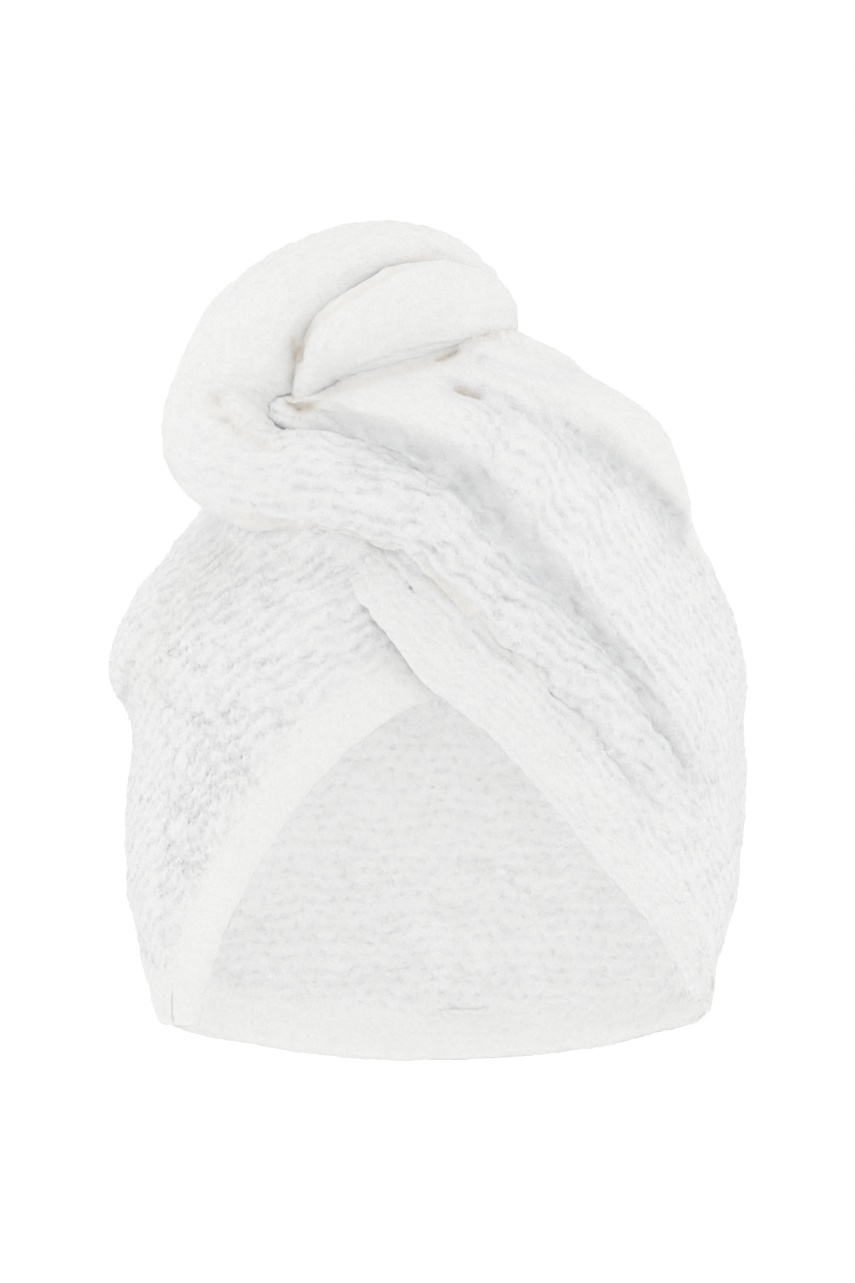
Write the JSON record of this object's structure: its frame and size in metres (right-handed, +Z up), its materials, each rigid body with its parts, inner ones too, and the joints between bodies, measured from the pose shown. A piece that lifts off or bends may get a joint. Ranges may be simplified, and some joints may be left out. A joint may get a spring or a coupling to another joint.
{
  "type": "hair turban towel",
  "caption": "Hood of waffle towelling whose crossed front edges wind into a knot above the forehead, with a twisted tail buttoned at the nape.",
  "frame": {"origin": "inner face of the hood above the middle of the head, where the crown of the head touches it", "axes": "+Z up along the head, -Y out of the face, +X towards the wearer's left"},
  "size_m": [0.2073, 0.2506, 0.2794],
  "materials": {
    "waffle_towelling": "fuzzy white waffle towelling",
    "hem_towelling": "smooth folded hem of white towelling",
    "button": "satin off-white plastic"
  },
  "bodies": {
    "root": {"left_panel": "waffle_towelling", "right_panel": "waffle_towelling", "left_front_hem": "hem_towelling", "right_front_hem": "hem_towelling", "nape_hem": "hem_towelling", "twist_outer_roll": "waffle_towelling", "twist_inner_roll": "waffle_towelling", "twist_tail": "waffle_towelling", "nape_button": "button"}
  },
  "joints": []
}
